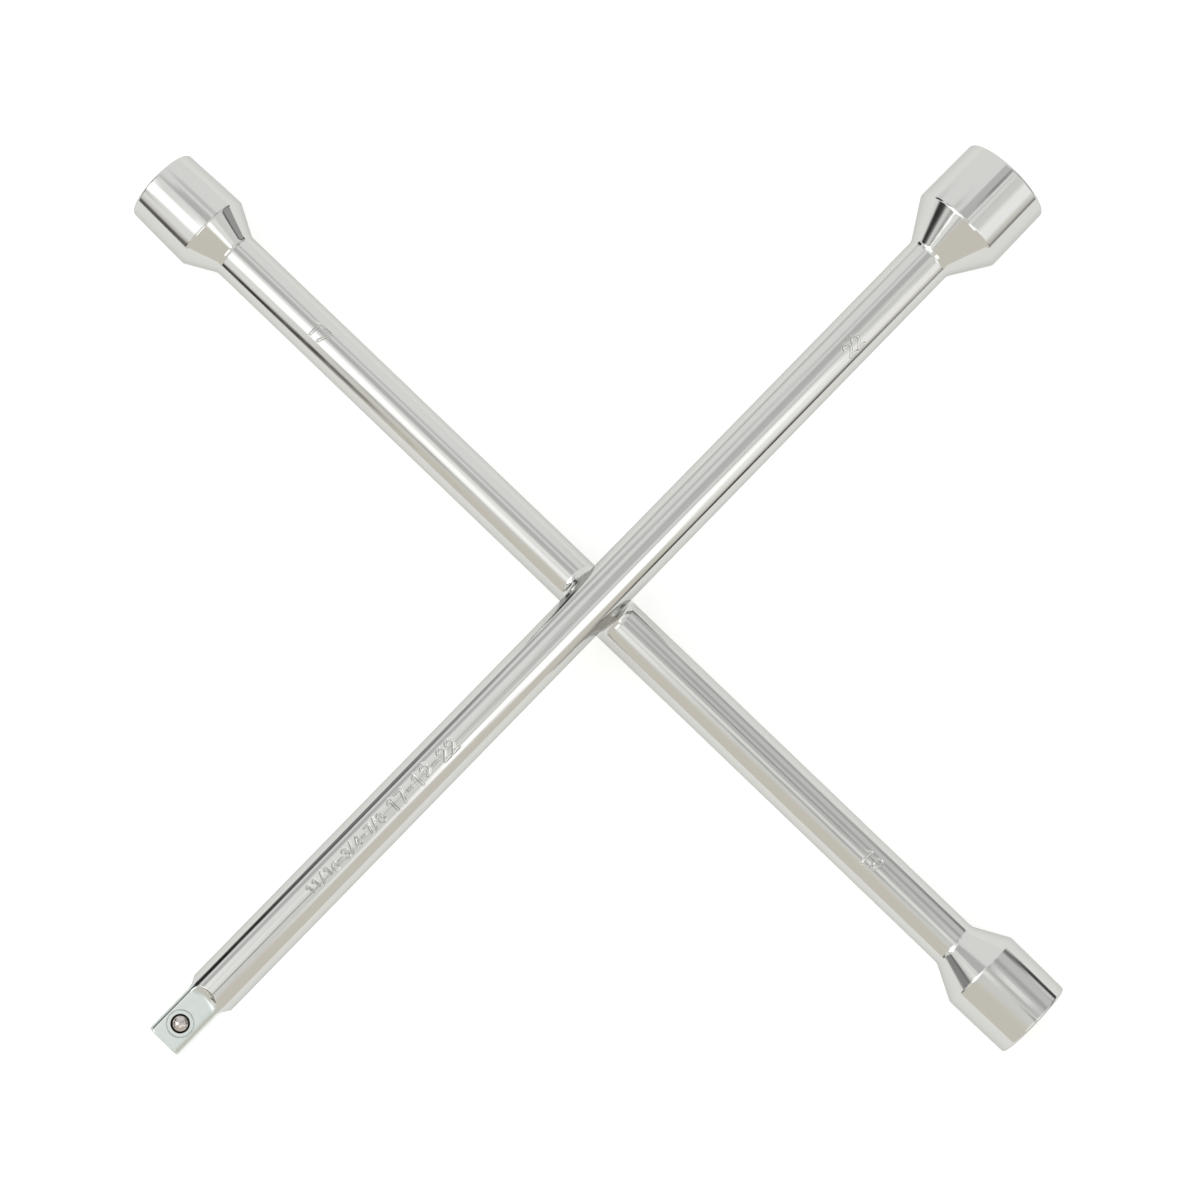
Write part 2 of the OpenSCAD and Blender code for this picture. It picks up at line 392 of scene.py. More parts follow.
# ---------------------------------------------------------------- stamped numbers

def arc(x, y, radius, start, end, steps=10):
    t = np.radians(np.linspace(start, end, steps + 1))
    return [(x + radius * math.cos(a), y + radius * math.sin(a)) for a in t]


GLYPHS = {
    "1": [[(0.05, 0.76), (0.3, 0.95), (0.3, 0)]],
    "2": [arc(0.3, 0.68, 0.27, 170, -35) + [(0.05, 0.04), (0.6, 0.04)]],
    "3": [arc(0.3, 0.71, 0.23, 160, -90), arc(0.3, 0.27, 0.27, 90, -155)],
    "4": [[(0.44, 0), (0.44, 0.95)], [(0.44, 0.93), (0.04, 0.3), (0.62, 0.3)]],
    "7": [[(0, 0.94), (0.56, 0.94), (0.22, 0)]],
    "8": [arc(0.3, 0.71, 0.22, -105, 245, 16), arc(0.3, 0.26, 0.27, 85, 435, 16)],
    "9": [arc(0.3, 0.68, 0.27, 0, 300, 14), arc(0.12, 0.68, 0.45, 48, -78) + [(0.1, 0.2)]],
    "/": [[(0, -0.08), (0.46, 1.04)]],
    "-": [[(0.08, 0.46), (0.52, 0.46)]],
}
GLYPHS["6"] = [[(0.6 - x, 0.95 - y) for x, y in path] for path in GLYPHS["9"]]


def path_distance(x, y, path):
    """How far each point is from a path of straight pieces."""
    least = np.full(x.shape, np.inf)
    for (ax, ay), (bx, by) in zip(path, path[1:]):
        dx, dy = bx - ax, by - ay
        t = np.clip(((x - ax) * dx + (y - ay) * dy) / (dx * dx + dy * dy), 0, 1)
        least = np.minimum(least, np.hypot(x - ax - t * dx, y - ay - t * dy))
    return least


def mark_width(signs, height):
    return GLYPH_STEP * height * (len(signs) - 1) + 0.6 * height


def mark_rings(signs, height, middle, turn=0.0, pitch=0.17):
    """Rings of a length of bar with a row of numbers pressed in; turn is where the row sits round the bar."""
    width = mark_width(signs, height)
    reach = math.degrees(math.asin((height / 2 + 0.8) / BAR_R))
    angles = graded_angles(turn, reach)
    start, end = middle - width / 2 - 1.0, middle + width / 2 + 1.0
    rings = []
    across = BAR_R * np.sin(np.radians(angles - turn))
    front = np.cos(np.radians(angles - turn)) > 0
    for place in np.linspace(start, end, math.ceil((end - start) / pitch) + 1):
        gap = np.full(angles.shape, np.inf)
        for k, sign in enumerate(signs):
            x = (place - (middle - width / 2)) / height - k * GLYPH_STEP
            if -0.4 < x < 1.0:
                for path in GLYPHS[sign]:
                    y = across / height + 0.5
                    gap = np.minimum(gap, path_distance(np.full(y.shape, x), y, path) * height)
        t = np.clip((gap - STROKE * height / 2 + MARK_EDGE) / (2 * MARK_EDGE), 0, 1)
        depth = np.where(front, MARK_DEPTH * (1 - t * t * (3 - 2 * t)), 0)
        rings.append(ring(place, BAR_R - depth, angles))
    return rings


# ---------------------------------------------------------------- the two bars

def square_rings():
    """Rings of the square drive, from its tip to the plain bar. The corners keep the roundness of a turned
    blank, and each flat runs out on the bar in an arch."""
    square_end = TIP_X + SQUARE_LENGTH
    from_flat = (SQUARE + 45) % 90 - 45
    across = np.clip(np.tan(np.radians(from_flat)), -1, 1)
    flat_end = square_end + ARCH * (0.5 - across**2)

    def wall(place):
        run = np.clip(place - flat_end, 0, RUNOUT)
        half = SQUARE_HALF + RUNOUT - np.sqrt(RUNOUT**2 - run**2)
        grown = np.clip((place - square_end) / RUNOUT, 0, 1)
        outer = SQUARE_BLANK_R + (BAR_R - SQUARE_BLANK_R) * grown
        outer = min(outer, BAR_R - TIP_CHAMFER * (1 - (place - TIP_X) / TIP_CHAMFER_LENGTH))
        return soft_least(half / np.cos(np.radians(from_flat)), outer, EDGE_BLEND * (1 - 0.9 * grown))

    rings = [pole(TIP_X)]
    face = wall(TIP_X + TIP_EDGE) - TIP_EDGE
    rings += [ring(TIP_X, face * t, SQUARE) for t in (0.3, 0.6, 0.85, 0.97)]
    for turn in np.linspace(0, 90, 7):
        inset = TIP_EDGE * (1 - math.sin(math.radians(turn)))
        place = TIP_X + TIP_EDGE * (1 - math.cos(math.radians(turn)))
        rings.append(ring(place, wall(TIP_X + TIP_EDGE) - inset, SQUARE))
    places = np.concatenate([
        TIP_X + np.linspace(TIP_EDGE, TIP_CHAMFER_LENGTH + 0.3, 9)[1:],
        np.linspace(TIP_X + TIP_CHAMFER_LENGTH + 1.2, square_end - ARCH / 2 - 0.3, 12),
        np.arange(square_end - ARCH / 2, square_end + RUNOUT + ARCH / 2, 0.1),
    ])
    rings += [ring(place, wall(place), SQUARE) for place in places]
    return rings + [ring(places[-1] + 0.3, BAR_R, SQUARE)]


def seat_cutter(axes):
    """Half of a bar, cut at the mid-plane: what it takes up of the other bar."""
    height = axes["origin"][2]
    edge = math.degrees(math.acos(abs(height) / BAR_R))
    first, last = (180 + edge, 540 - edge) if height > 0 else (edge, 360 - edge)
    inner = np.radians(np.linspace(first, last, 97))
    half_length = 2 * BAR_R
    points = []
    for end in (-half_length, half_length):
        for t in inner:
            out = math.cos(t) * UP + math.sin(t) * axes["side"]
            points.append(axes["origin"] + end * axes["along"] + BAR_R * out)
    n = len(inner)
    faces = [[k, (k + 1) % n, n + (k + 1) % n, n + k] for k in range(n)]
    faces += [list(range(n))[::-1], [n + k for k in range(n)]]
    return mesh_object("cutter", points, faces)


def hole_cutter():
    """The ball's hole with its staked lip."""
    mouth_r = LIP_R + LIP_FLARE + 0.05
    rings = [pole(HOLE_FLOOR_Z), ring(HOLE_FLOOR_Z, HOLE_R), ring(FACE_Z - LIP_ROOT, HOLE_R)]
    rings += [ring(FACE_Z - LIP_DEPTH, LIP_R), ring(FACE_Z - 0.12, LIP_R + LIP_FLARE * 0.8)]
    rings += [ring(FACE_Z + 0.02, mouth_r), ring(FACE_Z + 1, mouth_r), pole(FACE_Z + 1)]
    return skin("cutter", rings, **HOLE_AXES)


def groove_cutter():
    """The ring-shaped staking groove."""
    rings = []
    for t in np.radians(np.linspace(0, 180, 9)):
        rings.append(ring(FACE_Z - GROOVE_DEPTH * math.sin(t), GROOVE_R + GROOVE_HALF_W * math.cos(t)))
    rings += [ring(FACE_Z + 0.5, GROOVE_R + GROOVE_HALF_W * side) for side in (-1.4, 1.4)]
    return skin("cutter", rings, closed=True, **HOLE_AXES)


def make_drive_bar():
    rings = square_rings()
    rings += mark_rings("11/16-3/4-7/8", SMALL_MARK_HEIGHT, -120)
    rings += mark_rings("17-19-22", MARK_HEIGHT, -84)
    rings += [ring(-60, BAR_R), ring(60, BAR_R)]
    rings += mark_rings("22", MARK_HEIGHT, 121, turn=-20)
    rings += socket_rings(SIZE_22, 1)
    bar = skin("drive_bar_chromed", rings, **DRIVE_AXES)
    cut(bar, hole_cutter(), groove_cutter(), seat_cutter(SOCKET_AXES))
    smooth(bar)
    true_bar_normals(bar, DRIVE_AXES)
    return bar


def make_socket_bar():
    rings = socket_rings(SIZE_17, -1)[::-1]
    rings += mark_rings("17", MARK_HEIGHT, -132)
    rings += [ring(-100, BAR_R), ring(100, BAR_R)]
    rings += mark_rings("19", MARK_HEIGHT, 127)
    rings += socket_rings(SIZE_19, 1)
    bar = skin("socket_bar_chromed", rings, **SOCKET_AXES)
    cut(bar, seat_cutter(DRIVE_AXES))
    smooth(bar)
    true_bar_normals(bar, SOCKET_AXES)
    return bar


# ---------------------------------------------------------------- crossing, ball and spring

def bar_cutter(axes):
    """A plain length of bar, which is cut out of the flash."""
    ends = (-2 * BAR_R, 2 * BAR_R)
    rings = [pole(ends[0]), *(ring(end, BAR_R, FINE) for end in ends), pole(ends[1])]
    return skin("cutter", rings, **axes)


def weld_gap(x, y, z):
    """How far places are outside the bars and the fillet that blends them; less than 0 inside."""
    turn = np.arctan2(y, x)
    size = WELD_SIZE + 0.25 * np.sin(5 * turn + 0.6) + 0.15 * np.sin(11 * turn + 2.1)
    from_drive = np.hypot(y, z - DRIVE_Z) - BAR_R
    from_socket = np.hypot(x, z - SOCKET_Z) - BAR_R
    share = np.clip(0.5 + 0.5 * (from_socket - from_drive) / size, 0, 1)
    return from_socket * (1 - share) + from_drive * share - size * share * (1 - share)


def make_weld_flash():
    """Flash in the corner between the bars: a fillet that follows both, slightly uneven along its run. Beyond
    the fillet its surface lies a hair inside the bars, so that cutting them out leaves no film on them."""
    t = np.radians(FINE)
    crest = BAR_R - DRIVE_Z
    heights = np.concatenate([
        np.linspace(0, crest, 14)[:-1],
        np.linspace(crest, crest + 1, 20),
        np.linspace(crest + 1, DRIVE_Z, 14)[1:],
    ])
    heights = np.concatenate([-heights[:0:-1], heights])
    rings = [pole(SOCKET_Z)]
    for height in heights:
        near, far = np.zeros(t.shape), np.full(t.shape, FLASH_R)
        for _ in range(24):
            middle = (near + far) / 2
            solid = weld_gap(middle * np.cos(t), middle * np.sin(t), height) < -FLASH_INSET
            near, far = np.where(solid, middle, near), np.where(solid, far, middle)
        rings.append(ring(height, near, FINE))
    rings.append(pole(DRIVE_Z))
    flash = skin("weld_flash_ring", rings, **axes_along(UP, (0, 1, 0), (1, 0, 0), (0, 0, 0)))
    cut(flash, bar_cutter(DRIVE_AXES), bar_cutter(SOCKET_AXES))
    drop_films(flash)
    smooth(flash)
    true_weld_normals(flash)
    return flash


def true_weld_normals(obj):
    """Gives the flash the exact normals of its fillet, so that it stays smooth where it thins out."""
    co = mesh_places(obj.data)
    out = np.zeros(co.shape)
    for k in range(3):
        step = np.zeros(3)
        step[k] = 0.02
        out[:, k] = weld_gap(*(co + step).T) - weld_gap(*(co - step).T)
    out /= np.maximum(np.linalg.norm(out, axis=1), 1e-9)[:, None]
    set_normals(obj.data, out, 0.5)


def make_ball():
    rings = [pole(-BALL_R)]
    for t in np.linspace(-90, 90, 61)[1:-1]:
        turn = math.radians(t)
        rings.append(ring(BALL_R * math.sin(turn), BALL_R * math.cos(turn), np.arange(0, 360, 3.0)))
    rings.append(pole(BALL_R))
    return smooth(skin("ball_polished", rings, **axes_along((1, 0, 0), (0, 1, 0), UP, BALL_CENTRE)), 60)


def make_spring():
    """The coil under the ball: one closed turn at each end and open turns between."""
    per_turn, sides = 40, 14
    touch = BALL_R + WIRE_R + 0.03
    top = BALL_CENTRE[2] - math.sqrt(touch**2 - COIL_R**2)
    bottom = HOLE_FLOOR_Z + WIRE_R
    open_pitch = (top - bottom - 2 * CLOSED_PITCH) / OPEN_TURNS
    turns = np.linspace(0, OPEN_TURNS + 2, (OPEN_TURNS + 2) * per_turn + 1)
    heights = (
        bottom
        + CLOSED_PITCH * np.minimum(turns, 1)
        + open_pitch * np.clip(turns - 1, 0, OPEN_TURNS)
        + CLOSED_PITCH * np.maximum(turns - 1 - OPEN_TURNS, 0)
    )
    points = []
    for turn, height in zip(turns, heights):
        a = 2 * math.pi * turn
        for k in range(sides):
            b = 2 * math.pi * k / sides
            r = COIL_R + WIRE_R * math.cos(b)
            points.append((BALL_CENTRE[0] + r * math.cos(a), r * math.sin(a), height + WIRE_R * math.sin(b)))
    n = len(turns)
    faces = [
        [i * sides + k, i * sides + (k + 1) % sides, (i + 1) * sides + (k + 1) % sides, (i + 1) * sides + k]
        for i in range(n - 1)
        for k in range(sides)
    ]
    faces += [list(range(sides))[::-1], [(n - 1) * sides + k for k in range(sides)]]
    return smooth(mesh_object("spring_coiled", points, faces), 50)


# ---------------------------------------------------------------- materials

def add(tree, kind, inputs=(), **settings):
    """A node with its settings and inputs; an input is a number, a colour or another node's output."""
    node = tree.nodes.new(kind)
    for key, value in settings.items():
        setattr(node, key, value)
    for key, value in dict(inputs).items():
        if isinstance(value, bpy.types.NodeSocket):
            tree.links.new(value, node.inputs[key])
        else:
            node.inputs[key].default_value = value
    return node


def metal(name, colour, roughness):
    material = bpy.data.materials.new(name)
    material.use_nodes = True
    shader = material.node_tree.nodes["Principled BSDF"]
    shader.inputs["Base Color"].default_value = (*colour, 1)
    shader.inputs["Metallic"].default_value = 1
    shader.inputs["Roughness"].default_value = roughness
    return material, material.node_tree, shader


def noise(tree, stretch, scale, detail=3.0, rough=0.5):
    """Noise in the object's own space, stretched by a size along each axis in millimetres."""
    place = add(tree, "ShaderNodeTexCoord").outputs["Object"]
    sized = add(tree, "ShaderNodeMapping", {"Vector": place, "Scale": tuple(1 / (MM * s) for s in stretch)})
    return add(
        tree,
        "ShaderNodeTexNoise",
        {"Vector": sized.outputs["Vector"], "Scale": scale, "Detail": detail, "Roughness": rough},
    ).outputs["Fac"]


def spread(tree, value, low, high, from_low=0.3, from_high=0.7):
    return add(
        tree,
        "ShaderNodeMapRange",
        {"Value": value, "From Min": from_low, "From Max": from_high, "To Min": low, "To Max": high},
    ).outputs["Result"]


def bump(tree, height, depth_mm, onto=None):
    inputs = {"Height": height, "Distance": depth_mm * MM, "Strength": 1.0}
    if onto is not None:
        inputs["Normal"] = onto
    return add(tree, "ShaderNodeBump", inputs).outputs["Normal"]


def chrome(name, lengthwise):
    """Polished chrome plate: faint waviness and polishing lines along the bar, and uneven haze."""
    material, tree, shader = metal(name, (0.57, 0.57, 0.553), 0.06)
    along = 1 if lengthwise == "y" else 0
    wave = [5.0, 5.0, 5.0]
    wave[along] = 40.0
    line = [0.5, 0.5, 0.5]
    line[along] = 18.0
    shader.inputs["Specular Tint"].default_value = (0.72, 0.72, 0.72, 1)
    haze = spread(tree, noise(tree, (9, 9, 9), 1.0), 0.055, 0.12)
    tree.links.new(haze, shader.inputs["Roughness"])
    normal = bump(tree, noise(tree, wave, 1.0, 2.0), 0.026)
    normal = bump(tree, noise(tree, line, 1.0, 3.0), 0.0006, normal)
    normal = bump(tree, noise(tree, (1.6, 1.6, 1.6), 1.0, 2.0), 0.0006, normal)
    tree.links.new(normal, shader.inputs["Normal"])
    return material


def satin_chrome(name):
    """Chrome over a machined face, duller than the polished bar."""
    material, tree, shader = metal(name, (0.54, 0.575, 0.55), 0.16)
    haze = spread(tree, noise(tree, (3, 3, 3), 1.0), 0.13, 0.2)
    tree.links.new(haze, shader.inputs["Roughness"])
    normal = bump(tree, noise(tree, (1.2, 1.2, 1.2), 1.0, 2.0), 0.002)
    tree.links.new(normal, shader.inputs["Normal"])
    return material


def painted_hole_shade(name):
    """Painted shade: a near-black metal on the wall and lip of the ball's hole, standing in for the shadow in
    the hole.
    """
    material, tree, shader = metal(name, (0.05, 0.048, 0.045), 0.45)
    haze = spread(tree, noise(tree, (0.6, 0.6, 0.6), 1.0), 0.35, 0.55)
    tree.links.new(haze, shader.inputs["Roughness"])
    return material


def flash_metal(name):
    """Plated flash, lumpier than the bars."""
    material, tree, shader = metal(name, (0.57, 0.57, 0.553), 0.12)
    haze = spread(tree, noise(tree, (1.5, 1.5, 1.5), 1.0), 0.08, 0.15)
    tree.links.new(haze, shader.inputs["Roughness"])
    normal = bump(tree, noise(tree, (1.8, 1.8, 1.8), 1.0, 2.0), 0.004)
    tree.links.new(normal, shader.inputs["Normal"])
    return material


def ball_metal(name):
    """A hardened steel ball with faint handling marks."""
    material, tree, shader = metal(name, (0.5, 0.47, 0.435), 0.08)
    haze = spread(tree, noise(tree, (0.8, 0.8, 0.8), 1.0, 4.0), 0.06, 0.14)
    tree.links.new(haze, shader.inputs["Roughness"])
    return material


def spring_metal(name):
    """Drawn spring wire."""
    material, tree, shader = metal(name, (0.36, 0.35, 0.34), 0.35)
    haze = spread(tree, noise(tree, (0.3, 0.3, 0.3), 1.0, 4.0), 0.28, 0.45)
    tree.links.new(haze, shader.inputs["Roughness"])
    return material


def paint(obj, *materials, which=None):
    """One material all over, or the one that a test picks by its number for each face's middle."""
    obj.data.materials.clear()
    for material in materials:
        obj.data.materials.append(material)
    if which is not None:
        for face in obj.data.polygons:
            face.material_index = which(np.array(face.center) / MM)


# ---------------------------------------------------------------- the studio

def math_node(tree, operation, *values):
    return add(tree, "ShaderNodeMath", dict(enumerate(values)), operation=operation).outputs[0]


def fade(tree, value, low, high, blur):
    """1 where a value is from low to high, fading to 0 over a blur on each side."""
    shade = 1.0
    for edge, away in ((low, -blur), (high, blur)):
        if edge is None:
            continue
        side = add(
            tree,
            "ShaderNodeMapRange",
            {"Value": value, "From Min": edge + away, "From Max": edge},
            interpolation_type="SMOOTHSTEP",
        ).outputs["Result"]
        shade = math_node(tree, "MULTIPLY", shade, side)
    return shade


class Studio:
    """The light round the object, as panels on a far sphere. A panel lies along one of the bars: its tilt
    is measured over that bar, 0 overhead and 90 on the horizon, and its reach is the part along it."""

    def __init__(self, tree, tent):
        self.tree = tree
        ray = add(tree, "ShaderNodeTexCoord").outputs["Generated"]
        parts = add(tree, "ShaderNodeSeparateXYZ", {0: ray}).outputs
        self.x, self.y, self.z = parts
        self.over = {
            "x": (self.angle(self.y, self.z), self.x),
            "y": (self.angle(math_node(tree, "MULTIPLY", self.x, -1.0), self.z), self.y),
        }
        self.colour = tent

    def angle(self, sideways, up):
        radians = math_node(self.tree, "ARCTAN2", sideways, up)
        return math_node(self.tree, "MULTIPLY", radians, 180 / math.pi)

    def panel(self, bar, tilt, reach, colour, blur=(4, 0.03), share=1.0):
        angle, part = self.over[bar]
        mask = math_node(
            self.tree,
            "MULTIPLY",
            fade(self.tree, angle, *tilt, blur[0]),
            fade(self.tree, part, *reach, blur[1]),
        )
        self.mix(math_node(self.tree, "MULTIPLY", mask, share), colour)

    def side(self, towards, half_width, height, colour, blur=(8, 4)):
        """A panel standing at the side of the table, as wide and as high as it looks from the wrench."""
        tx, ty = np.array(towards) / np.hypot(*towards)
        across = math_node(self.tree, "SUBTRACT", self.times(self.y, tx), self.times(self.x, ty))
        ahead = math_node(self.tree, "ADD", self.times(self.x, tx), self.times(self.y, ty))
        level = math_node(self.tree, "ARCSINE", self.z)
        mask = math_node(
            self.tree,
            "MULTIPLY",
            fade(self.tree, self.angle(across, ahead), -half_width, half_width, blur[0]),
            fade(self.tree, self.times(level, 180 / math.pi), *height, blur[1]),
        )
        self.mix(mask, colour)

    def times(self, value, factor):
        return math_node(self.tree, "MULTIPLY", value, float(factor))

    def mix(self, mask, colour):
        node = self.tree.nodes.new("ShaderNodeMix")
        node.data_type = "RGBA"
        self.tree.links.new(mask, node.inputs[0])
        if isinstance(self.colour, bpy.types.NodeSocket):
            self.tree.links.new(self.colour, node.inputs[6])
        else:
            node.inputs[6].default_value = (*self.colour, 1)
        node.inputs[7].default_value = (*colour, 1)
        self.colour = node.outputs[2]


def grey(value):
    return (value, value, value)


def make_world():
    world = bpy.data.worlds.new("studio")
    bpy.context.scene.world = world
    world.use_nodes = True
    tree = world.node_tree
    tree.nodes.clear()
    studio = Studio(tree, (1.0, 1.0, 0.98))

    # Warm side of the tent, towards the foot of the picture, and its brighter head.
    foot = math_node(tree, "MULTIPLY", math_node(tree, "ADD", studio.x, studio.y), -0.7071)
    studio.mix(fade(tree, foot, None, -0.3, 0.35), grey(1.12))
    studio.mix(fade(tree, foot, 0.55, None, 0.25), (0.92, 0.88, 0.8))
    # Soft folds of the tent, running with the bars.
    studio.panel("x", (47, 53), (-0.2, 0.11), grey(0.68), blur=(9, 0.03), share=0.9)
    studio.panel("x", (42, 46), (0.11, 0.17), grey(0.8), blur=(8, 0.03), share=0.9)
    studio.panel("x", (33, 37), (0.2, 0.25), grey(0.85), blur=(7, 0.02), share=0.9)
    studio.panel("x", (8, 15), (0.1, 0.235), grey(0.74), blur=(14, 0.025), share=0.9)
    studio.panel("x", (0, 3), (0.0, 0.1), grey(0.78), blur=(8, 0.04), share=0.8)
    studio.panel("x", (-22, -20), (0.04, 0.3), grey(0.9), blur=(4, 0.03), share=0.8)
    studio.panel("y", (-70, -24), (-0.3, 0.05), grey(0.82), blur=(8, 0.06), share=0.9)
    studio.panel("y", (-43, -38), (-0.3, 0.1), grey(0.6), blur=(8, 0.05), share=0.9)
    studio.panel("y", (-40, -36), (0.1, 0.3), grey(0.82), blur=(7, 0.05), share=0.9)
    studio.panel("y", (-20, -13), (0.0, 0.3), grey(0.72), blur=(8, 0.03), share=0.9)
    studio.panel("y", (-16, -8), (-0.3, 0.0), grey(0.75), blur=(8, 0.03), share=0.9)
    # Lighter stretches between them.
    studio.panel("x", (24, 34), (0.0, 0.07), grey(1.2), blur=(8, 0.03), share=0.9)
    studio.panel("x", (4, 14), (-0.2, -0.01), grey(1.3), blur=(7, 0.02), share=0.9)
    studio.panel("x", (-17, -13), (0.03, 0.4), grey(1.15), blur=(5, 0.03), share=0.9)
    studio.panel("y", (0, 5), (-0.07, -0.03), grey(1.3), blur=(6, 0.02), share=0.9)
    studio.panel("y", (44, 64), (0.21, 0.4), grey(1.2), blur=(8, 0.02), share=0.9)
    studio.panel("y", (-25, -15), (-0.13, -0.077), grey(1.3), blur=(4, 0.012), share=0.9)
    # Long soft box overhead, seen by each bar where it passes over.
    studio.panel("x", (-41, -37), (-0.01, 0.04), grey(1.35), blur=(8, 0.03))
    studio.panel("x", (-66, -48), (0.17, 0.4), grey(1.35), blur=(14, 0.05))
    studio.panel("x", (-45, -35), (0.13, 0.18), grey(1.75), blur=(9, 0.04))
    studio.panel("x", (-44, -31), (0.04, 0.14), grey(1.9), blur=(8, 0.02))
    studio.panel("x", (-53, -32), (0.08, 0.13), grey(1.9), blur=(9, 0.025))
    studio.panel("y", (24, 30), (0.08, 0.14), grey(1.45), blur=(14, 0.05))
    studio.panel("y", (16, 28), (0.14, 0.18), grey(1.75), blur=(8, 0.04))
    studio.panel("y", (12, 34), (0.19, 0.24), grey(1.9), blur=(9, 0.03))
    studio.panel("y", (20, 38), (0.26, 0.4), grey(1.9), blur=(9, 0.02))
    # The same box further out, seen only where the bars widen into sockets and the square.
    studio.panel("x", (-32, -20), (-0.6, -0.16), grey(1.9), blur=(7, 0.05))
    studio.panel("y", (10, 30), (0.37, 0.62), grey(1.9), blur=(9, 0.04))
    studio.panel("y", (12, 34), (-0.5, -0.28), grey(1.9), blur=(9, 0.05))
    studio.side((-1, 1), 13, (35, 52), grey(4.5), blur=(5, 4))
    # Dark gap between the tent and the floor, on the far side and near the corners.
    studio.panel("x", (72, 85), (-0.2, 0.02), grey(0.02), blur=(7, 0.06))
    studio.panel("x", (74, 90), (-0.3, -0.068), grey(0.03), blur=(5, 0.006))
    studio.panel("x", (78, 82), (0.0, 0.1), grey(0.35), blur=(8, 0.04), share=0.9)
    studio.panel("x", (80, 84), (0.1, 0.22), grey(0.8), blur=(8, 0.05))
    studio.panel("x", (-93, -87), (0.12, 0.21), grey(0.08), blur=(9, 0.03))
    studio.panel("x", (-96, -91), (0.21, 0.4), grey(0.35), blur=(9, 0.03))
    studio.panel("y", (-82, -76), (-0.07, -0.05), grey(0.2), blur=(7, 0.05))
    studio.panel("y", (-90, -84), (-0.3, -0.09), grey(0.08), blur=(7, 0.03))
    studio.panel("y", (-78, -72), (-0.03, 0.06), grey(0.6), blur=(7, 0.05))
    studio.panel("y", (72, 78), (0.185, 0.2), grey(0.1), blur=(9, 0.02))
    studio.panel("y", (79, 86), (0.205, 0.24), grey(0.05), blur=(9, 0.02))
    studio.panel("y", (83, 89), (0.26, 0.4), grey(0.15), blur=(9, 0.02))
    studio.side((-0.588, 0.809), 7, (8, 19), grey(0.05), blur=(5, 7))
    studio.side((-0.766, 0.643), 7, (4, 16), grey(0.38), blur=(6, 7))
    studio.side((-1, 0.8), 10, (33, 35), grey(0.45), blur=(8, 4))
    studio.side((1, -0.62), 19, (-2, 22), grey(0.15), blur=(5, 2))
    studio.side((1, -0.62), 13, (0, 17), grey(0.5), blur=(4, 3))
    # Thin dark seams of the tent.
    studio.panel("x", (-11, -9.5), (-0.07, -0.015), grey(0.3), blur=(2.5, 0.02), share=0.9)
    studio.panel("y", (15, 18), (-0.04, 0.03), grey(0.6), blur=(6, 0.015), share=0.9)
    studio.panel("y", (41, 45), (0.15, 0.18), grey(0.65), blur=(6, 0.02), share=0.9)
    studio.panel("x", (-1, 2), (0.281, 0.33), grey(0.3), blur=(3, 0.012), share=0.9)

    light = add(tree, "ShaderNodeBackground", {"Color": studio.colour, "Strength": 1.0})
    backdrop = add(tree, "ShaderNodeBackground", {"Color": (1, 1, 1, 1), "Strength": 1.25})
    seen = add(tree, "ShaderNodeLightPath").outputs["Is Camera Ray"]
    both = add(tree, "ShaderNodeMixShader", {0: seen, 1: light.outputs[0], 2: backdrop.outputs[0]})
    add(tree, "ShaderNodeOutputWorld", {"Surface": both.outputs[0]})


def make_floor():
    """A pale light table under the wrench."""
    half = 600.0
    points = [(half * x, half * y, FLOOR_Z) for x, y in ((-1, -1), (1, -1), (1, 1), (-1, 1))]
    floor = mesh_object("floor", points, [[0, 1, 2, 3]])
    material = bpy.data.materials.new("pale_table")
    material.use_nodes = True
    shader = material.node_tree.nodes["Principled BSDF"]
    shader.inputs["Base Color"].default_value = (0.5, 0.5, 0.5, 1)
    shader.inputs["Roughness"].default_value = 0.9
    shader.inputs["Specular IOR Level"].default_value = 0.1
    shader.inputs["Emission Color"].default_value = (1, 1, 0.98, 1)
    shader.inputs["Emission Strength"].default_value = 0.62
    floor.data.materials.append(material)


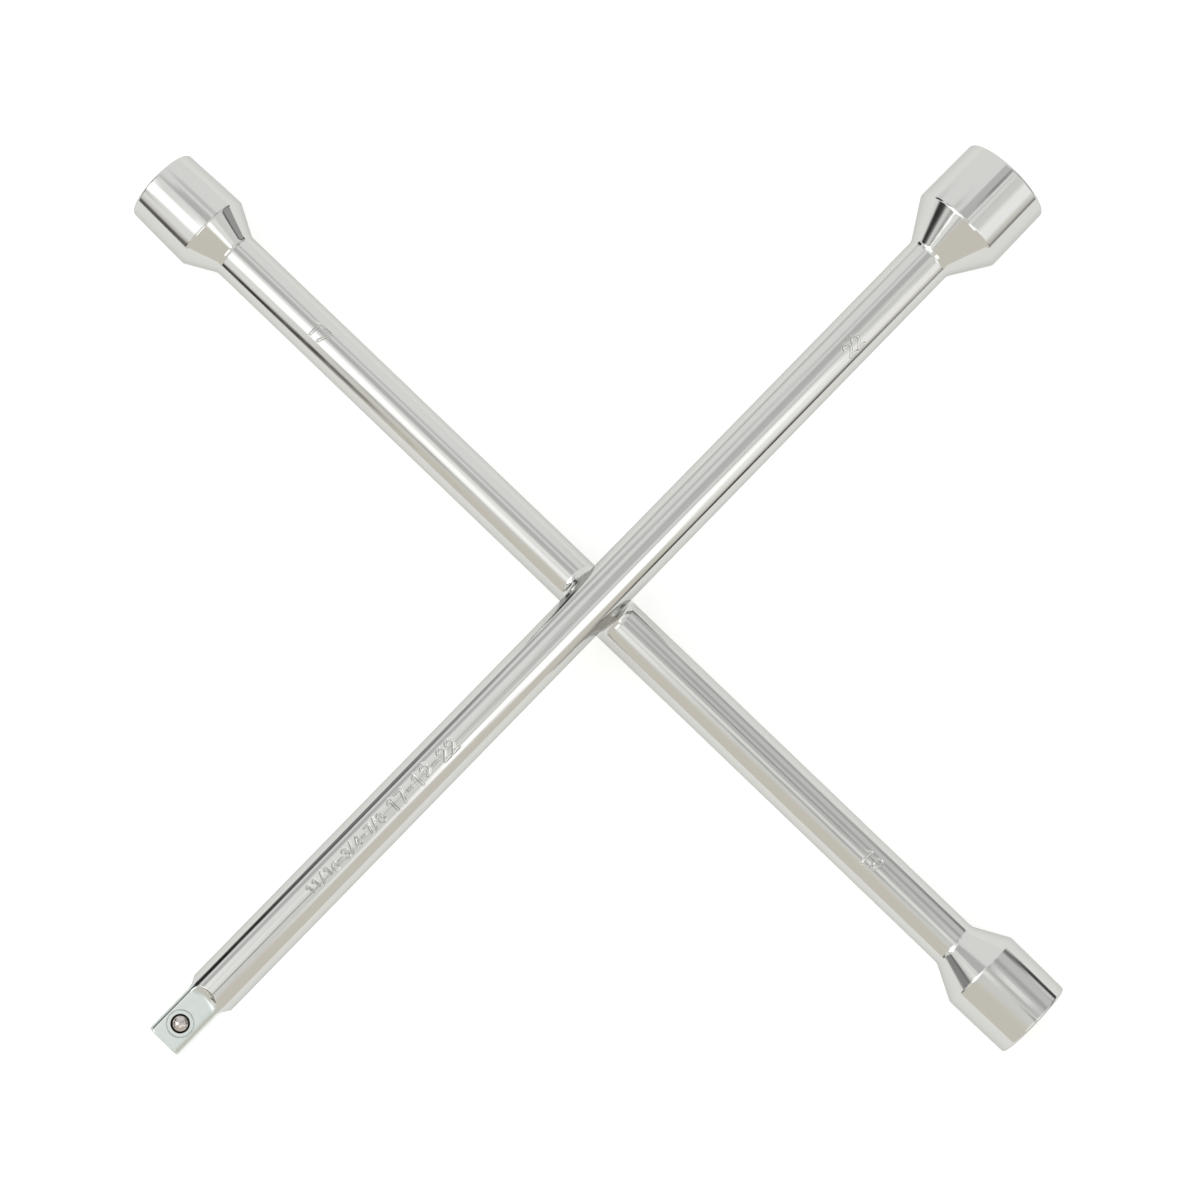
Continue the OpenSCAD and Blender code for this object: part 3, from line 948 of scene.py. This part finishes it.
def make_camera():
    """Seen from above with a long lens, the bars crossing the picture corner to corner."""
    data = bpy.data.cameras.new("camera")
    data.sensor_width = 36
    data.lens = 98.82
    camera = bpy.data.objects.new("camera", data)
    bpy.context.scene.collection.objects.link(camera)
    turned = Matrix(((1, -1, 0), (1, 1, 0), (0, 0, math.sqrt(2)))) * math.sqrt(0.5)
    tilt = Vector((-0.1343027, 0.0136252, 0.0166037))
    look = Matrix.Rotation(tilt.length, 3, tilt.normalized()) @ turned
    place = Vector((-116.43, -94.28, 1104.25)) * MM
    camera.matrix_world = Matrix.Translation(place) @ look.transposed().to_4x4()
    bpy.context.scene.camera = camera


# ---------------------------------------------------------------- the scene

drive_bar = make_drive_bar()
socket_bar = make_socket_bar()
weld_flash = make_weld_flash()
ball = make_ball()
spring = make_spring()

# The third material is painted shade: near black, for the ball's hole.
PLAIN, SATIN, HOLE_SHADE = range(3)


def in_socket(size, along, radius):
    """Whether a place is in a socket's hollow, given how far it is along the bar and from the bar's axis."""
    corner_r = size["flats"] / 2 / math.cos(math.radians(30))
    return along > size["mouth"] - RELIEF_DEPTH - 10 and radius < corner_r + 0.1


def drive_bar_part(place):
    from_axis = np.hypot(place[1], place[2] - DRIVE_Z)
    from_ball = np.hypot(place[0] - BALL_CENTRE[0], place[1])
    # Faces in the ball's hole and on its lip get the painted shade.
    if from_ball < LIP_R + LIP_FLARE + 0.1 and HOLE_FLOOR_Z - 0.1 < place[2] < FACE_Z - 0.01:
        return HOLE_SHADE
    on_square = place[0] < TIP_X + SQUARE_LENGTH + 2.4 and abs(from_axis - BAR_R) > 0.02
    return SATIN if on_square or in_socket(SIZE_22, place[0], from_axis) else PLAIN


def socket_bar_part(place):
    size = SIZE_17 if place[1] > 0 else SIZE_19
    return SATIN if in_socket(size, abs(place[1]), np.hypot(place[0], place[2] - SOCKET_Z)) else PLAIN


satin = satin_chrome("chrome_satin")
# The drive bar's third material paints the shadow in the ball's hole near black.
paint(drive_bar, chrome("chrome_along_x", "x"), satin, painted_hole_shade("painted_hole_shade"), which=drive_bar_part)
paint(socket_bar, chrome("chrome_along_y", "y"), satin, which=socket_bar_part)
paint(weld_flash, flash_metal("weld_flash"))
paint(ball, ball_metal("ball_steel"))
paint(spring, spring_metal("spring_steel"))

for piece, body, node, slot in (
    (drive_bar, "frame", "drive_bar", "chrome_plate"),
    (socket_bar, "frame", "socket_bar", "chrome_plate"),
    (weld_flash, "frame", "weld_collar", "weld_flash"),
    (ball, "ball", "detent_ball", "ball_steel"),
    (spring, "frame", "detent_spring", "spring_steel"),
):
    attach(piece, body)
    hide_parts(node)
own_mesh(spring)

make_world()
make_floor()
make_camera()
bpy.context.scene.view_settings.view_transform = "Standard"
